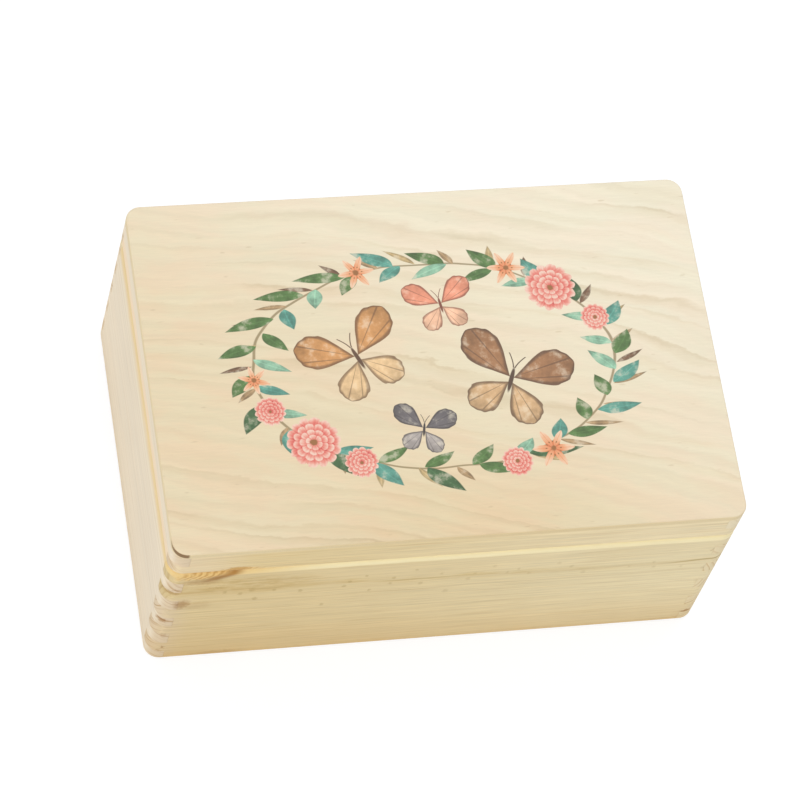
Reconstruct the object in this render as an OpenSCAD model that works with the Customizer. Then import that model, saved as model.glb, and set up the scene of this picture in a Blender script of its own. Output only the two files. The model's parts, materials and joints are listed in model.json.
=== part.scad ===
// Wooden keepsake box with a hinged lid.
// Finger-jointed boards with rounded corners, a plywood bottom let into a rabbet,
// a lid frame under a plywood panel, and two small butt hinges at the back seam.
// Origin: middle of the underside. X runs along the width, the front faces -Y, Z is up.

/* [Overall] */
// Width over the end boards
box_w = 300; // [240:5:400]
// Depth from the front board to the back board
box_d = 200; // [150:5:280]
// Height of the lower box, up to the seam
body_h = 106; // [80:1:160]
// Height of the lid frame, without its panel
lid_frame_h = 20; // [18:1:34]
// Gap between the closed lid and the lower box
seam_gap = 0.3; // [0.2:0.05:0.6]

/* [Boards] */
// Thickness of the pine boards and rails
wall_t = 9.5; // [9:0.25:12]
// Outside radius of the upright corners
corner_r = 8; // [5:0.5:9]
// Round-over on both edges at the seam
seam_edge_r = 3; // [2:0.25:3.25]
// Round-over on the lower edge of the box
base_edge_r = 3; // [1:0.25:4]

/* [Finger joints] */
// Number of fingers up the corner of the lower box
body_fingers = 10; // [6:2:14]
// Number of fingers up the corner of the lid frame
lid_fingers = 2; // [2:2:4]

/* [Panels] */
// Thickness of the plywood lid panel
lid_panel_t = 4; // [3:0.5:6]
// Round-over on the upper edge of the lid panel
lid_edge_r = 1; // [0.5:0.25:2]
// Thickness of the plywood bottom
bottom_t = 4; // [3:0.5:6]
// Width of the ledge that the bottom is glued to
ledge_w = 4; // [3:0.25:4.5]
// Corner radius that the router leaves in the rabbet
rabbet_r = 6; // [4:0.5:8]
// Clearance all round the bottom panel
panel_fit = 0.2; // [0.1:0.05:0.4]

/* [Hinges] */
// Distance from the side of the box to the middle of a hinge
hinge_inset = 60; // [40:5:80]
// Length of a hinge along the seam
hinge_l = 30; // [26:1:40]
// Distance from the back of the box to the pin
pin_inset = 1.4; // [1.2:0.05:1.5]
// Outside radius of the knuckles
knuckle_r = 2; // [1.8:0.05:2.2]
// Radius of the hinge pin
pin_r = 1; // [0.8:0.05:1.1]
// Running clearance round the pin
pin_fit = 0.05; // [0.03:0.01:0.08]
// End clearance between two knuckles
knuckle_gap = 0.2; // [0.1:0.05:0.3]
// Thickness of a leaf
leaf_t = 1; // [0.9:0.05:1.2]
// Width of a leaf, from the pin to its inner edge
leaf_w = 6.6; // [6.3:0.1:7]
// Clearance of a leaf in its mortise and of a knuckle in its pocket
mortise_fit = 0.3; // [0.2:0.05:0.4]

/* [Screws] */
// Distance from the pin to a screw
screw_reach = 3.9; // [3.7:0.1:4.1]
// Radius of the screw head
head_r = 1.8; // [1.6:0.05:2]
// Radius of the screw shank
shank_r = 1; // [0.9:0.05:1.1]
// Length of a screw
screw_l = 9; // [7:0.5:12]
// Clearance round a screw in its hole
screw_fit = 0.05; // [0.03:0.01:0.1]
// Width of a slot of the cross recess
slot_w = 0.5; // [0.4:0.05:0.6]
// Depth of the cross recess
slot_depth = 0.5; // [0.4:0.05:0.6]

/* [Hidden] */

$fn = 48;
over = 1;                               // how far a cutter runs past what it cuts

half_w = box_w / 2;
half_d = box_d / 2;
lid_z = body_h + seam_gap;              // underside of the lid frame
lid_panel_z = lid_z + lid_frame_h;      // underside of the lid panel
rabbet_lip = wall_t - ledge_w;          // wood left outside the bottom panel
rabbet_w = box_w - 2 * rabbet_lip;
rabbet_d = box_d - 2 * rabbet_lip;

pin_y = half_d - pin_inset;
pin_z = body_h + seam_gap / 2;
pocket_r = knuckle_r + mortise_fit;
knuckles = 5;                           // three on the box, two between them on the lid
knuckle_l = (hinge_l - (knuckles - 1) * knuckle_gap) / knuckles;
knuckle_pitch = knuckle_l + knuckle_gap;
box_knuckles = [-2, 0, 2];
lid_knuckles = [-1, 1];
box_screws = [-2, 2];                   // a screw sits in line with a knuckle of its own leaf
lid_screws = [-1, 1];
hinge_x = half_w - hinge_inset;
pin_bevel = 0.2;

hole_r = shank_r + screw_fit;
head_h = head_r - shank_r;              // height of the 90 degree countersink
tip_h = 2 * shank_r;                    // length of the screw's point
tip_r = shank_r / 10;                   // blunt end of the point
hole_room = 0.5;                        // air below the point

long_grain = [0.87, 0.80, 0.64];
end_board_pine = [0.90, 0.84, 0.74];
plywood = [0.91, 0.85, 0.71];
brass = [0.80, 0.66, 0.34];
steel = [0.70, 0.70, 0.72];

// ---- Outlines with rounded edges ----

// Rectangle with round corners, centred on the origin
module round_rect(w, d, r) {
    square([w - 2 * r, d], center = true);
    square([w, d - 2 * r], center = true);
    for (sx = [-1, 1], sy = [-1, 1])
        translate([sx * (w / 2 - r), sy * (d / 2 - r)])
            circle(r);
}

// What a round-over takes off the corner at (0, 0)
module edge_waste(r) {
    difference() {
        translate([-over, -over])
            square(r + over);
        translate([r, r])
            circle(r);
    }
}

// Half of an upright section, from the middle line out, with rounded outer edges
module half_section(reach, h, low_r, high_r) {
    difference() {
        square([reach, h]);
        if (low_r > 0)
            translate([reach, 0])
                mirror([1, 0])
                    edge_waste(low_r);
        if (high_r > 0)
            translate([reach, h])
                rotate(180)
                    edge_waste(high_r);
    }
}

module full_section(reach, h, low_r, high_r) {
    half_section(reach, h, low_r, high_r);
    mirror([1, 0])
        half_section(reach, h, low_r, high_r);
}

// Block of the box's plan, standing on z = 0: round upright corners, and round-overs
// of low_r and high_r that follow the plan along its lower and upper edges
module round_block(h, low_r, high_r) {
    rotate([90, 0, 90])
        linear_extrude(box_w - 2 * corner_r, center = true)
            full_section(half_d, h, low_r, high_r);
    rotate([90, 0, 0])
        linear_extrude(box_d - 2 * corner_r, center = true)
            full_section(half_w, h, low_r, high_r);
    for (sx = [-1, 1], sy = [-1, 1])
        translate([sx * (half_w - corner_r), sy * (half_d - corner_r), 0])
            rotate_extrude()
                half_section(corner_r, h, low_r, high_r);
}

// ---- Finger-jointed boards ----

// Board along X, its outer face on y = 0. It keeps every second finger, from number first up.
module finger_board(length, h, count, first) {
    finger_h = h / count;
    translate([-length / 2 + wall_t, 0, 0])
        cube([length - 2 * wall_t, wall_t, h]);
    for (k = [first:2:count - 1])
        translate([-length / 2, 0, k * finger_h])
            cube([length, wall_t, finger_h]);
}

// turn 0 is the front, 180 the back
module long_board(turn, h, count, first) {
    rotate(turn)
        translate([0, -half_d, 0])
            finger_board(box_w, h, count, first);
}

// turn 90 is the right, -90 the left
module end_board(turn, h, count, first) {
    rotate(turn)
        translate([0, -half_w, 0])
            finger_board(box_d, h, count, first);
}

// Lower box: the end boards keep the lowest finger
module box_board() {
    difference() {
        intersection() {
            round_block(body_h, base_edge_r, seam_edge_r);
            children();
        }
        translate([0, 0, -over])
            linear_extrude(bottom_t + over)
                round_rect(rabbet_w, rabbet_d, rabbet_r);
    }
}

module box_long_board(turn) {
    box_board()
        long_board(turn, body_h, body_fingers, 1);
}

module box_end_board(turn) {
    box_board()
        end_board(turn, body_h, body_fingers, 0);
}

// Lid frame: the long rails keep the lowest finger
module lid_rail() {
    translate([0, 0, lid_z])
        intersection() {
            round_block(lid_frame_h, seam_edge_r, 0);
            children();
        }
}

module lid_long_rail(turn) {
    lid_rail()
        long_board(turn, lid_frame_h, lid_fingers, 0);
}

module lid_end_rail(turn) {
    lid_rail()
        end_board(turn, lid_frame_h, lid_fingers, 1);
}

// ---- Hinge, drawn for the box's side at x = 0. The lid's side is its mirror image. ----

module both_hinges() {
    for (side = [-1, 1])
        translate([side * hinge_x, 0, 0])
            children();
}

// Turns the box's side of a hinge into the lid's side
module lid_side() {
    translate([0, 0, 2 * pin_z])
        mirror([0, 0, 1])
            children();
}

module along_pin(r, length, x = 0) {
    translate([x, pin_y, pin_z])
        rotate([0, 90, 0])
            cylinder(r = r, h = length, center = true);
}

module at_screws(places) {
    for (k = places)
        translate([k * knuckle_pitch, pin_y - screw_reach, body_h])
            children();
}

// Leaf with its own knuckles, notched round those of the other leaf
module leaf(own, other, screws) {
    difference() {
        union() {
            translate([-hinge_l / 2, pin_y - leaf_w, body_h - leaf_t])
                cube([hinge_l, leaf_w, leaf_t]);
            for (k = own)
                along_pin(knuckle_r, knuckle_l, k * knuckle_pitch);
        }
        for (k = other)
            along_pin(pocket_r, knuckle_l + 2 * knuckle_gap, k * knuckle_pitch);
        along_pin(pin_r + pin_fit, hinge_l + 2 * over);
        at_screws(screws)
            countersink();
    }
}

// Round hole with a 90 degree sink, down from z = 0
module countersink() {
    translate([0, 0, -leaf_t - over])
        cylinder(r = hole_r, h = leaf_t + over);
    translate([0, 0, -head_h])
        cylinder(r1 = hole_r, r2 = head_r + screw_fit, h = head_h);
    cylinder(r = head_r + screw_fit, h = over);
}

// Mortise for the leaf, pocket for the knuckles and pilot holes for the screws
module hinge_seat(screws) {
    mortise_w = leaf_w + mortise_fit;
    mortise_l = hinge_l + 2 * mortise_fit;
    translate([-mortise_l / 2, pin_y - mortise_w, body_h - leaf_t])
        cube([mortise_l, mortise_w, leaf_t + over]);
    along_pin(pocket_r, mortise_l);
    at_screws(screws)
        translate([0, 0, -screw_l - hole_room])
            cylinder(r = hole_r, h = screw_l + hole_room);
}

module pin() {
    translate([0, pin_y, pin_z])
        rotate([0, 90, 0])
            rotate_extrude()
                polygon([
                    [0, -hinge_l / 2],
                    [pin_r - pin_bevel, -hinge_l / 2],
                    [pin_r, -hinge_l / 2 + pin_bevel],
                    [pin_r, hinge_l / 2 - pin_bevel],
                    [pin_r - pin_bevel, hinge_l / 2],
                    [0, hinge_l / 2]
                ]);
}

// Countersunk wood screw with a cross recess, its head flush with z = 0
module screw() {
    difference() {
        rotate_extrude()
            polygon([
                [0, 0],
                [head_r, 0],
                [shank_r, -head_h],
                [shank_r, tip_h - screw_l],
                [tip_r, -screw_l],
                [0, -screw_l]
            ]);
        for (turn = [0, 90])
            rotate(turn)
                translate([-head_r / 2, -slot_w / 2, -slot_depth])
                    cube([head_r, slot_w, slot_depth + over]);
    }
}

// ---- Sub-parts: lower box ----

module front_board() {
    color(long_grain)
        box_long_board(0);
}

module back_board() {
    color(long_grain)
        difference() {
            box_long_board(180);
            both_hinges()
                hinge_seat(box_screws);
        }
}

module left_board() {
    color(end_board_pine)
        box_end_board(-90);
}

module right_board() {
    color(end_board_pine)
        box_end_board(90);
}

module bottom_panel() {
    color(plywood)
        linear_extrude(bottom_t)
            round_rect(rabbet_w - 2 * panel_fit, rabbet_d - 2 * panel_fit, rabbet_r - panel_fit);
}

// ---- Sub-parts: lid ----

module lid_front_rail() {
    color(long_grain)
        lid_long_rail(0);
}

module lid_back_rail() {
    color(long_grain)
        difference() {
            lid_long_rail(180);
            both_hinges()
                lid_side()
                    hinge_seat(lid_screws);
        }
}

module lid_left_rail() {
    color(end_board_pine)
        lid_end_rail(-90);
}

module lid_right_rail() {
    color(end_board_pine)
        lid_end_rail(90);
}

module lid_panel() {
    color(plywood)
        translate([0, 0, lid_panel_z])
            round_block(lid_panel_t, 0, lid_edge_r);
}

// ---- Sub-parts: hinges ----

module hinge_box_leaf(side) {
    color(brass)
        translate([side * hinge_x, 0, 0])
            leaf(box_knuckles, lid_knuckles, box_screws);
}

module hinge_lid_leaf(side) {
    color(brass)
        translate([side * hinge_x, 0, 0])
            lid_side()
                leaf(lid_knuckles, box_knuckles, lid_screws);
}

module hinge_pin(side) {
    color(steel)
        translate([side * hinge_x, 0, 0])
            pin();
}

module hinge_box_screws(side) {
    color(brass)
        translate([side * hinge_x, 0, 0])
            at_screws(box_screws)
                screw();
}

module hinge_lid_screws(side) {
    color(brass)
        translate([side * hinge_x, 0, 0])
            lid_side()
                at_screws(lid_screws)
                    screw();
}

front_board();
back_board();
left_board();
right_board();
bottom_panel();
lid_front_rail();
lid_back_rail();
lid_left_rail();
lid_right_rail();
lid_panel();
hinge_box_leaf(-1);  // left_hinge_box_leaf
hinge_lid_leaf(-1);  // left_hinge_lid_leaf
hinge_pin(-1);  // left_hinge_pin
hinge_box_screws(-1);  // left_hinge_box_screws
hinge_lid_screws(-1);  // left_hinge_lid_screws
hinge_box_leaf(1);  // right_hinge_box_leaf
hinge_lid_leaf(1);  // right_hinge_lid_leaf
hinge_pin(1);  // right_hinge_pin
hinge_box_screws(1);  // right_hinge_box_screws
hinge_lid_screws(1);  // right_hinge_lid_screws
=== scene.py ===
"""Wooden keepsake box: eased edges, pine, plywood and hinge finishes, lid decoration and studio."""

import json
import math

import bpy
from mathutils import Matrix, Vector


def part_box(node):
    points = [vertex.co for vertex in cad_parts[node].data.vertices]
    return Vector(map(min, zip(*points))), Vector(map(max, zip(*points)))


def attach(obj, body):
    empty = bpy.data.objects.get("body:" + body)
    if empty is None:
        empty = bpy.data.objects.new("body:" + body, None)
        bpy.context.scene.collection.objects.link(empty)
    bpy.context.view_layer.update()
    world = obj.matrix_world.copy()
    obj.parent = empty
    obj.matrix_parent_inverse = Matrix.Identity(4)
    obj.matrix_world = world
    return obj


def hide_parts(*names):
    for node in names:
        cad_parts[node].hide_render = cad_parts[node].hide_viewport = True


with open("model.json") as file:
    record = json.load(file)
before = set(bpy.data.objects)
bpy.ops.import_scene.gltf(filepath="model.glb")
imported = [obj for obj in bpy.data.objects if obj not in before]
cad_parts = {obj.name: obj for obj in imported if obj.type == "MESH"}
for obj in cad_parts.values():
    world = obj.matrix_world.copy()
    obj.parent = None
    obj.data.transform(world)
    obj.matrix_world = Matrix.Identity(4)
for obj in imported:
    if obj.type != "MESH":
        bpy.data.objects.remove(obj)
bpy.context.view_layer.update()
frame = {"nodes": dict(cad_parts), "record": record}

# Places on the box in millimetres, read from the frame.
MM = 0.001
panel_low, panel_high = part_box("lid_panel")
board_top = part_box("left_board")[1].z
rail_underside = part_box("lid_front_rail")[0].z
TOP = panel_high.z / MM
PANEL_UNDERSIDE = panel_low.z / MM
SEAM = (board_top + rail_underside) / 2 / MM
HALF_W = panel_high.x / MM
HALF_D = -panel_low.y / MM

# The camera, fitted to the outline, seam and upright edges of the box in the photograph.
CAMERA_AT = (-0.48862, -0.95064, 2.03419)
CAMERA_TURN = (27.150, -9.510, -8.802)
CAMERA_LENS = 190.27
SENSOR = 36.0
CLIP_START = 0.05
CLIP_END = 50.0

# How far the hard edges of wood and metal are rounded, in metres, and what counts as hard or flat.
WOOD_EASE = 0.00018
METAL_EASE = 0.00008
EASE_SEGMENTS = 2
HARD_ANGLE = math.radians(35)
SMOOTH_ANGLE = math.radians(30)
FLAT_ANGLE = math.radians(0.5)
MERGE_DISTANCE = 0.000002

# Gloss of bare wood, and the relief of each surface in millimetres.
WOOD_GLOSS = 0.3
PINE_RELIEF = 0.05
LID_RELIEF = 0.03
BOTTOM_RELIEF = 0.04
METAL_RELIEF = 0.012


def rgb(red, green, blue):
    """Linear colour from sRGB values of 0 to 255."""
    linear = []
    for value in (red, green, blue):
        part = value / 255.0
        linear.append(part / 12.92 if part <= 0.04045 else ((part + 0.055) / 1.055) ** 2.4)
    return tuple(linear)


# ---- Writing shader nodes ----


class Graph:
    """Writes nodes into one tree. Each method takes sockets or plain values and returns a socket."""

    def __init__(self, tree):
        self.tree = tree

    def feed(self, socket, value):
        if isinstance(value, bpy.types.NodeSocket):
            self.tree.links.new(value, socket)
        elif socket.type == "RGBA" and len(value) == 3:
            socket.default_value = (*value, 1.0)
        else:
            socket.default_value = value

    def node(self, kind, inputs, **settings):
        made = self.tree.nodes.new(kind)
        for key, value in settings.items():
            setattr(made, key, value)
        for key, value in inputs.items():
            self.feed(made.inputs[key], value)
        return made

    def use(self, effect, **inputs):
        """Places an effect, by default at this graph's own point, and returns its outputs."""
        made = self.node("ShaderNodeGroup", {}, node_tree=effect.tree)
        for key, value in {"Point": self.at, **inputs}.items():
            self.feed(made.inputs[key], value)
        return made.outputs

    def math(self, operation, a, b=0.0, c=0.0, clamp=False):
        inputs = {0: a, 1: b, 2: c}
        return self.node("ShaderNodeMath", inputs, operation=operation, use_clamp=clamp).outputs[0]

    def add(self, a, b):
        return self.math("ADD", a, b)

    def times(self, a, b):
        return self.math("MULTIPLY", a, b)

    def times_add(self, a, b, c):
        return self.math("MULTIPLY_ADD", a, b, c)

    def minus(self, a, b):
        return self.math("SUBTRACT", a, b)

    def over(self, a, b):
        return self.math("DIVIDE", a, b)

    def most(self, a, b):
        return self.math("MAXIMUM", a, b)

    def size(self, a):
        return self.math("ABSOLUTE", a)

    def vector(self, x, y, z=0.0):
        return self.node("ShaderNodeCombineXYZ", {0: x, 1: y, 2: z}).outputs[0]

    def split(self, vector):
        return self.node("ShaderNodeSeparateXYZ", {0: vector}).outputs

    def between(self, operation, a, b):
        """Vector maths on two vectors."""
        return self.node("ShaderNodeVectorMath", {0: a, 1: b}, operation=operation).outputs[0]

    def stretch(self, vector, factors):
        return self.between("MULTIPLY", vector, factors)

    def shift(self, vector, offset):
        return self.between("ADD", vector, offset)

    def shade(self, color, factor):
        """Colour made darker or lighter by a factor."""
        inputs = {0: color, "Scale": factor}
        return self.node("ShaderNodeVectorMath", inputs, operation="SCALE").outputs[0]

    def length(self, vector):
        return self.node("ShaderNodeVectorMath", {0: vector}, operation="LENGTH").outputs[1]

    def place(self, vector, at=(0, 0, 0), turn=(0, 0, 0)):
        """Mapping node: turns in degrees, then moves."""
        turned = tuple(math.radians(angle) for angle in turn)
        inputs = {0: vector, 1: at, 2: turned}
        return self.node("ShaderNodeMapping", inputs).outputs[0]

    def rise(self, value, low, high, start=0.0, end=1.0):
        """Smooth change from start at low to end at high."""
        inputs = {0: value, 1: low, 2: high, 3: start, 4: end}
        made = self.node("ShaderNodeMapRange", inputs, interpolation_type="SMOOTHSTEP")
        return made.outputs[0]

    def fall(self, value, low, high):
        """Smooth change from 1 at low to 0 at high."""
        return self.rise(value, low, high, 1.0, 0.0)

    def noise(self, vector, scale=1.0, detail=2.0, roughness=0.5):
        inputs = {"Vector": vector, "Scale": scale, "Detail": detail, "Roughness": roughness}
        return self.node("ShaderNodeTexNoise", inputs).outputs[0]

    def swing(self, vector, **settings):
        """Noise about 0."""
        return self.add(self.noise(vector, **settings), -0.5)

    def vary(self, noise, amount, base):
        """Base moved up and down by noise of 0 to 1, by the amount in all."""
        return self.times_add(self.add(noise, -0.5), amount, base)

    def ripple(self, value, scale):
        """Noise along a line."""
        inputs = {"W": value, "Scale": scale, "Detail": 1.0}
        return self.node("ShaderNodeTexNoise", inputs, noise_dimensions="1D").outputs[0]

    def chance(self, value, offset=0.0):
        """A fixed random number from 0 to 1 for each whole value."""
        inputs = {"W": self.add(value, offset)}
        made = self.node("ShaderNodeTexWhiteNoise", inputs, noise_dimensions="1D")
        return made.outputs[0]

    def mix(self, factor, a, b, blend="MIX"):
        settings = {"data_type": "RGBA", "blend_type": blend}
        return self.node("ShaderNodeMix", {0: factor, 6: a, 7: b}, **settings).outputs[2]

    def ramp(self, factor, stops, interpolation="LINEAR"):
        made = self.node("ShaderNodeValToRGB", {0: factor})
        bar = made.color_ramp
        bar.interpolation = interpolation
        for place, color in stops[1:-1]:
            bar.elements.new(place).color = (*color, 1.0)
        for index, (place, color) in ((0, stops[0]), (-1, stops[-1])):
            bar.elements[index].position = place
            bar.elements[index].color = (*color, 1.0)
        return made.outputs[0]

    def path(self, value, points):
        """Smooth curve through points of 0 to 1."""
        made = self.node("ShaderNodeFloatCurve", {1: value})
        curve = made.mapping.curves[0]
        for x, y in points[1:-1]:
            curve.points.new(x, y)
        curve.points[0].location = points[0]
        curve.points[-1].location = points[-1]
        made.mapping.update()
        return made.outputs[0]


class Effect(Graph):
    """A shader node group. It takes a point, and numbers, vectors and colours by name."""

    def __init__(self, name, *numbers, vectors=(), colors=()):
        super().__init__(bpy.data.node_groups.new(name, "ShaderNodeTree"))
        self.sockets("INPUT", "Vector", ("Point", *vectors))
        self.sockets("INPUT", "Float", numbers)
        self.sockets("INPUT", "Color", colors)
        self.given = self.node("NodeGroupInput", {}).outputs
        self.at = self.given["Point"]

    def sockets(self, direction, kind, names):
        socket_type = "NodeSocket" + kind
        for name in names:
            self.tree.interface.new_socket(name=name, in_out=direction, socket_type=socket_type)

    def give(self, **results):
        """Adds the outputs, which are numbers apart from one named Color."""
        for name in results:
            self.sockets("OUTPUT", "Color" if name == "Color" else "Float", (name,))
        made = self.node("NodeGroupOutput", {})
        for name, value in results.items():
            self.feed(made.inputs[name], value)


class Finish(Graph):
    """A material with one Principled shader."""

    def __init__(self, name, **constants):
        self.material = bpy.data.materials.new(name)
        self.material.use_nodes = True
        super().__init__(self.material.node_tree)
        self.shader = self.tree.nodes["Principled BSDF"]
        for key, value in constants.items():
            self.feed(self.shader.inputs[key.replace("_", " ")], value)
        coordinates = self.node("ShaderNodeTexCoord", {})
        self.facing = coordinates.outputs["Normal"]
        self.at = self.stretch(coordinates.outputs["Object"], (1 / MM, 1 / MM, 1 / MM))

    def wear(self, color, roughness, height, bump):
        """Feeds the shader. Bump is the height of the relief in millimetres."""
        self.feed(self.shader.inputs["Base Color"], color)
        self.feed(self.shader.inputs["Roughness"], roughness)
        inputs = {"Height": height, "Distance": bump * MM, "Strength": 1.0}
        relief = self.node("ShaderNodeBump", inputs)
        self.feed(self.shader.inputs["Normal"], relief.outputs[0])


# ---- Wood: effects that several pieces share ----


def growth_rings():
    """Year rings round the X axis, with grain along X and points in millimetres."""
    g = Effect("growth rings", "Ring", "Wander")
    _, y, z = g.split(g.at)
    bend = g.noise(g.stretch(g.at, (0.004, 0.018, 0.018)))
    waver = g.noise(g.stretch(g.at, (0.018, 0.11, 0.11)), detail=1.0)
    radius = g.length(g.vector(y, z))
    radius = g.vary(bend, g.given["Wander"], radius)
    radius = g.vary(waver, g.times(g.given["Wander"], 0.16), radius)
    years = g.over(radius, g.given["Ring"])
    years = g.times_add(g.ripple(years, 0.45), 1.7, years)
    year = g.math("FLOOR", years)
    season = g.math("FRACT", years)
    late = g.times(g.rise(season, 0.45, 0.90), g.fall(season, 0.92, 1.0))
    late = g.times(late, g.times_add(g.math("POWER", g.chance(year), 2.0), 0.85, 0.15))
    band = g.ripple(years, 0.21)
    g.give(Late=late, Band=band)
    return g


def wood_fibre():
    """Fine fibres, streaks, thin tan lines and slow changes of tone along the X axis."""
    g = Effect("wood fibre")
    fibre = g.noise(g.stretch(g.at, (0.05, 2.2, 2.2)), detail=3.0, roughness=0.65)
    streak = g.noise(g.stretch(g.at, (0.026, 0.85, 0.85)), detail=3.0, roughness=0.7)
    line = g.noise(g.shift(g.stretch(g.at, (0.018, 0.8, 0.8)), (7.0, 3.0, 9.0)))
    line = g.rise(line, 0.55, 0.66)
    cloud = g.noise(g.shift(g.stretch(g.at, (0.006, 0.03, 0.03)), (3.0, 8.0, 5.0)))
    g.give(Fibre=fibre, Streak=streak, Line=line, Cloud=cloud)
    return g


def seam_highlight_and_base():
    """Masks: the painted highlight on the rounded edges at the seam, and the wood towards the bottom
    edge.
    """
    g = Effect("seam highlight and base")
    z = g.split(g.at)[2]
    uneven = g.swing(g.stretch(g.at, (0.03, 0.03, 0.09)))
    above = g.times_add(uneven, 1.6, g.add(z, -SEAM))
    # Band of the painted highlight round the seam.
    seam = g.times(g.rise(above, -4.4, -2.6), g.fall(above, 1.2, 2.8))
    near = g.fall(g.times_add(uneven, 9.0, z), 0.0, 9.0)
    far = g.fall(g.times_add(uneven, 14.0, z), 4.0, 52.0)
    g.give(Seam=seam, Base=g.times_add(far, 0.45, g.times(near, 0.55)))
    return g


def pine_surface(rings, fibres):
    """Sanded pine: colour, roughness and relief, on side grain and on end grain."""
    values = ("Ring", "Wander", "End", "Contrast", "Streaks")
    g = Effect("pine surface", *values, colors=("Pale", "Dark", "Ends"))
    growth = g.use(rings, Ring=g.given["Ring"], Wander=g.given["Wander"])
    detail = g.use(fibres)
    end = g.given["End"]
    late = g.times(growth["Late"], g.given["Contrast"])
    color = g.mix(late, g.given["Pale"], g.given["Dark"])
    side = g.minus(1.0, end)
    tone = g.vary(detail["Cloud"], 0.14, 1.0)
    tone = g.vary(growth["Band"], 0.10, tone)
    fine = g.times(g.add(detail["Fibre"], -0.5), 0.18)
    fine = g.vary(detail["Streak"], 0.46, fine)
    tone = g.times_add(fine, g.times(side, g.given["Streaks"]), tone)
    color = g.shade(color, tone)
    lines = g.times(g.times(detail["Line"], side), g.times(g.given["Streaks"], 0.22))
    color = g.mix(lines, color, g.given["Dark"], "MULTIPLY")
    pores = g.noise(g.at, scale=1.6, roughness=0.7)
    ends = g.mix(g.times(late, 2.2), g.given["Ends"], g.given["Dark"], "MULTIPLY")
    ends = g.shade(ends, g.vary(pores, 0.16, 1.0))
    color = g.mix(end, color, ends)
    rough = g.times_add(detail["Fibre"], 0.12, 0.50)
    rough = g.times_add(end, 0.14, rough)
    height = g.times_add(detail["Fibre"], 0.55, g.times(late, 0.35))
    height = g.times_add(g.times(pores, end), 0.4, height)
    g.give(Color=color, Roughness=rough, Height=height, Fibre=detail["Fibre"])
    return g


def soft_spot():
    """Oval stained spot, speck or patch of painted shade: 1 in its middle, fading to 0 at its size."""
    g = Effect("soft spot", vectors=("Centre", "Size"))
    away = g.between("SUBTRACT", g.at, g.given["Centre"])
    away = g.between("DIVIDE", away, g.given["Size"])
    g.give(Mask=g.fall(g.length(away), 0.25, 1.0))
    return g


def spot(g, point, centre, size):
    """Mask of one stained spot, speck or patch of painted shade."""
    return g.use(SPOT, Point=point, Centre=centre, Size=size)["Mask"]


RINGS = growth_rings()
FIBRES = wood_fibre()
EDGES = seam_highlight_and_base()
PINE = pine_surface(RINGS, FIBRES)
SPOT = soft_spot()


# ---- Pine boards and rails ----

PALE = rgb(241, 227, 194)
DARK = rgb(214, 190, 148)
# The left side's colours are paler and cooler than the other boards', partly painted light falling on
# that side.
LEFT_PALE = rgb(244, 229, 203)
LEFT_DARK = rgb(217, 193, 158)
END_PINK = rgb(229, 208, 176)
END_YELLOW = rgb(219, 196, 146)
RAIL_PINK = rgb(239, 218, 179)
# Colours of the painted highlight on the rounded edges at the seam: pale, warm and peach.
PALE_SEAM_HIGHLIGHT = rgb(255, 241, 195)
WARM_SEAM_HIGHLIGHT = rgb(245, 216, 153)
PEACH_SEAM_HIGHLIGHT = rgb(252, 224, 184)
BASE_BROWN = rgb(222, 184, 118)
RESIN = rgb(208, 161, 90)
RESIN_GOLD = rgb(242, 206, 136)
# Multiplied in for stained spots, and for the painted shade under the seam's twist.
STAIN_AND_SHADE = (0.54, 0.36, 0.18)
OLIVE = (0.82, 0.73, 0.50)
LATE_WOOD = (0.80, 0.73, 0.60)
STREAK = (0.60, 0.51, 0.30)

ALONG = {"x": (0, 0, 0), "y": (0, 0, -90)}
GRAIN = {"x": (1, 0, 0), "y": (0, 1, 0)}


def pine(g, along, heart, ring, wander, contrast, pale, dark, end_color=END_PINK, streaks=1.0):
    """Pine with its grain along x or y. Heart is the tree's middle, across the grain and up, in mm."""
    across, up = heart
    spin = ALONG[along]
    start = (0, -across, -up) if along == "x" else (0, across, -up)
    point = g.place(g.at, at=start, turn=spin)
    facing = g.node("ShaderNodeVectorMath", {0: g.facing, 1: GRAIN[along]}, operation="DOT_PRODUCT")
    end = g.rise(g.size(facing.outputs[1]), 0.35, 0.9)
    colors = {"Pale": pale, "Dark": dark, "Ends": end_color}
    figure = {"Ring": ring, "Wander": wander, "Contrast": contrast, "Streaks": streaks}
    return g.use(PINE, Point=point, End=end, **figure, **colors)


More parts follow.
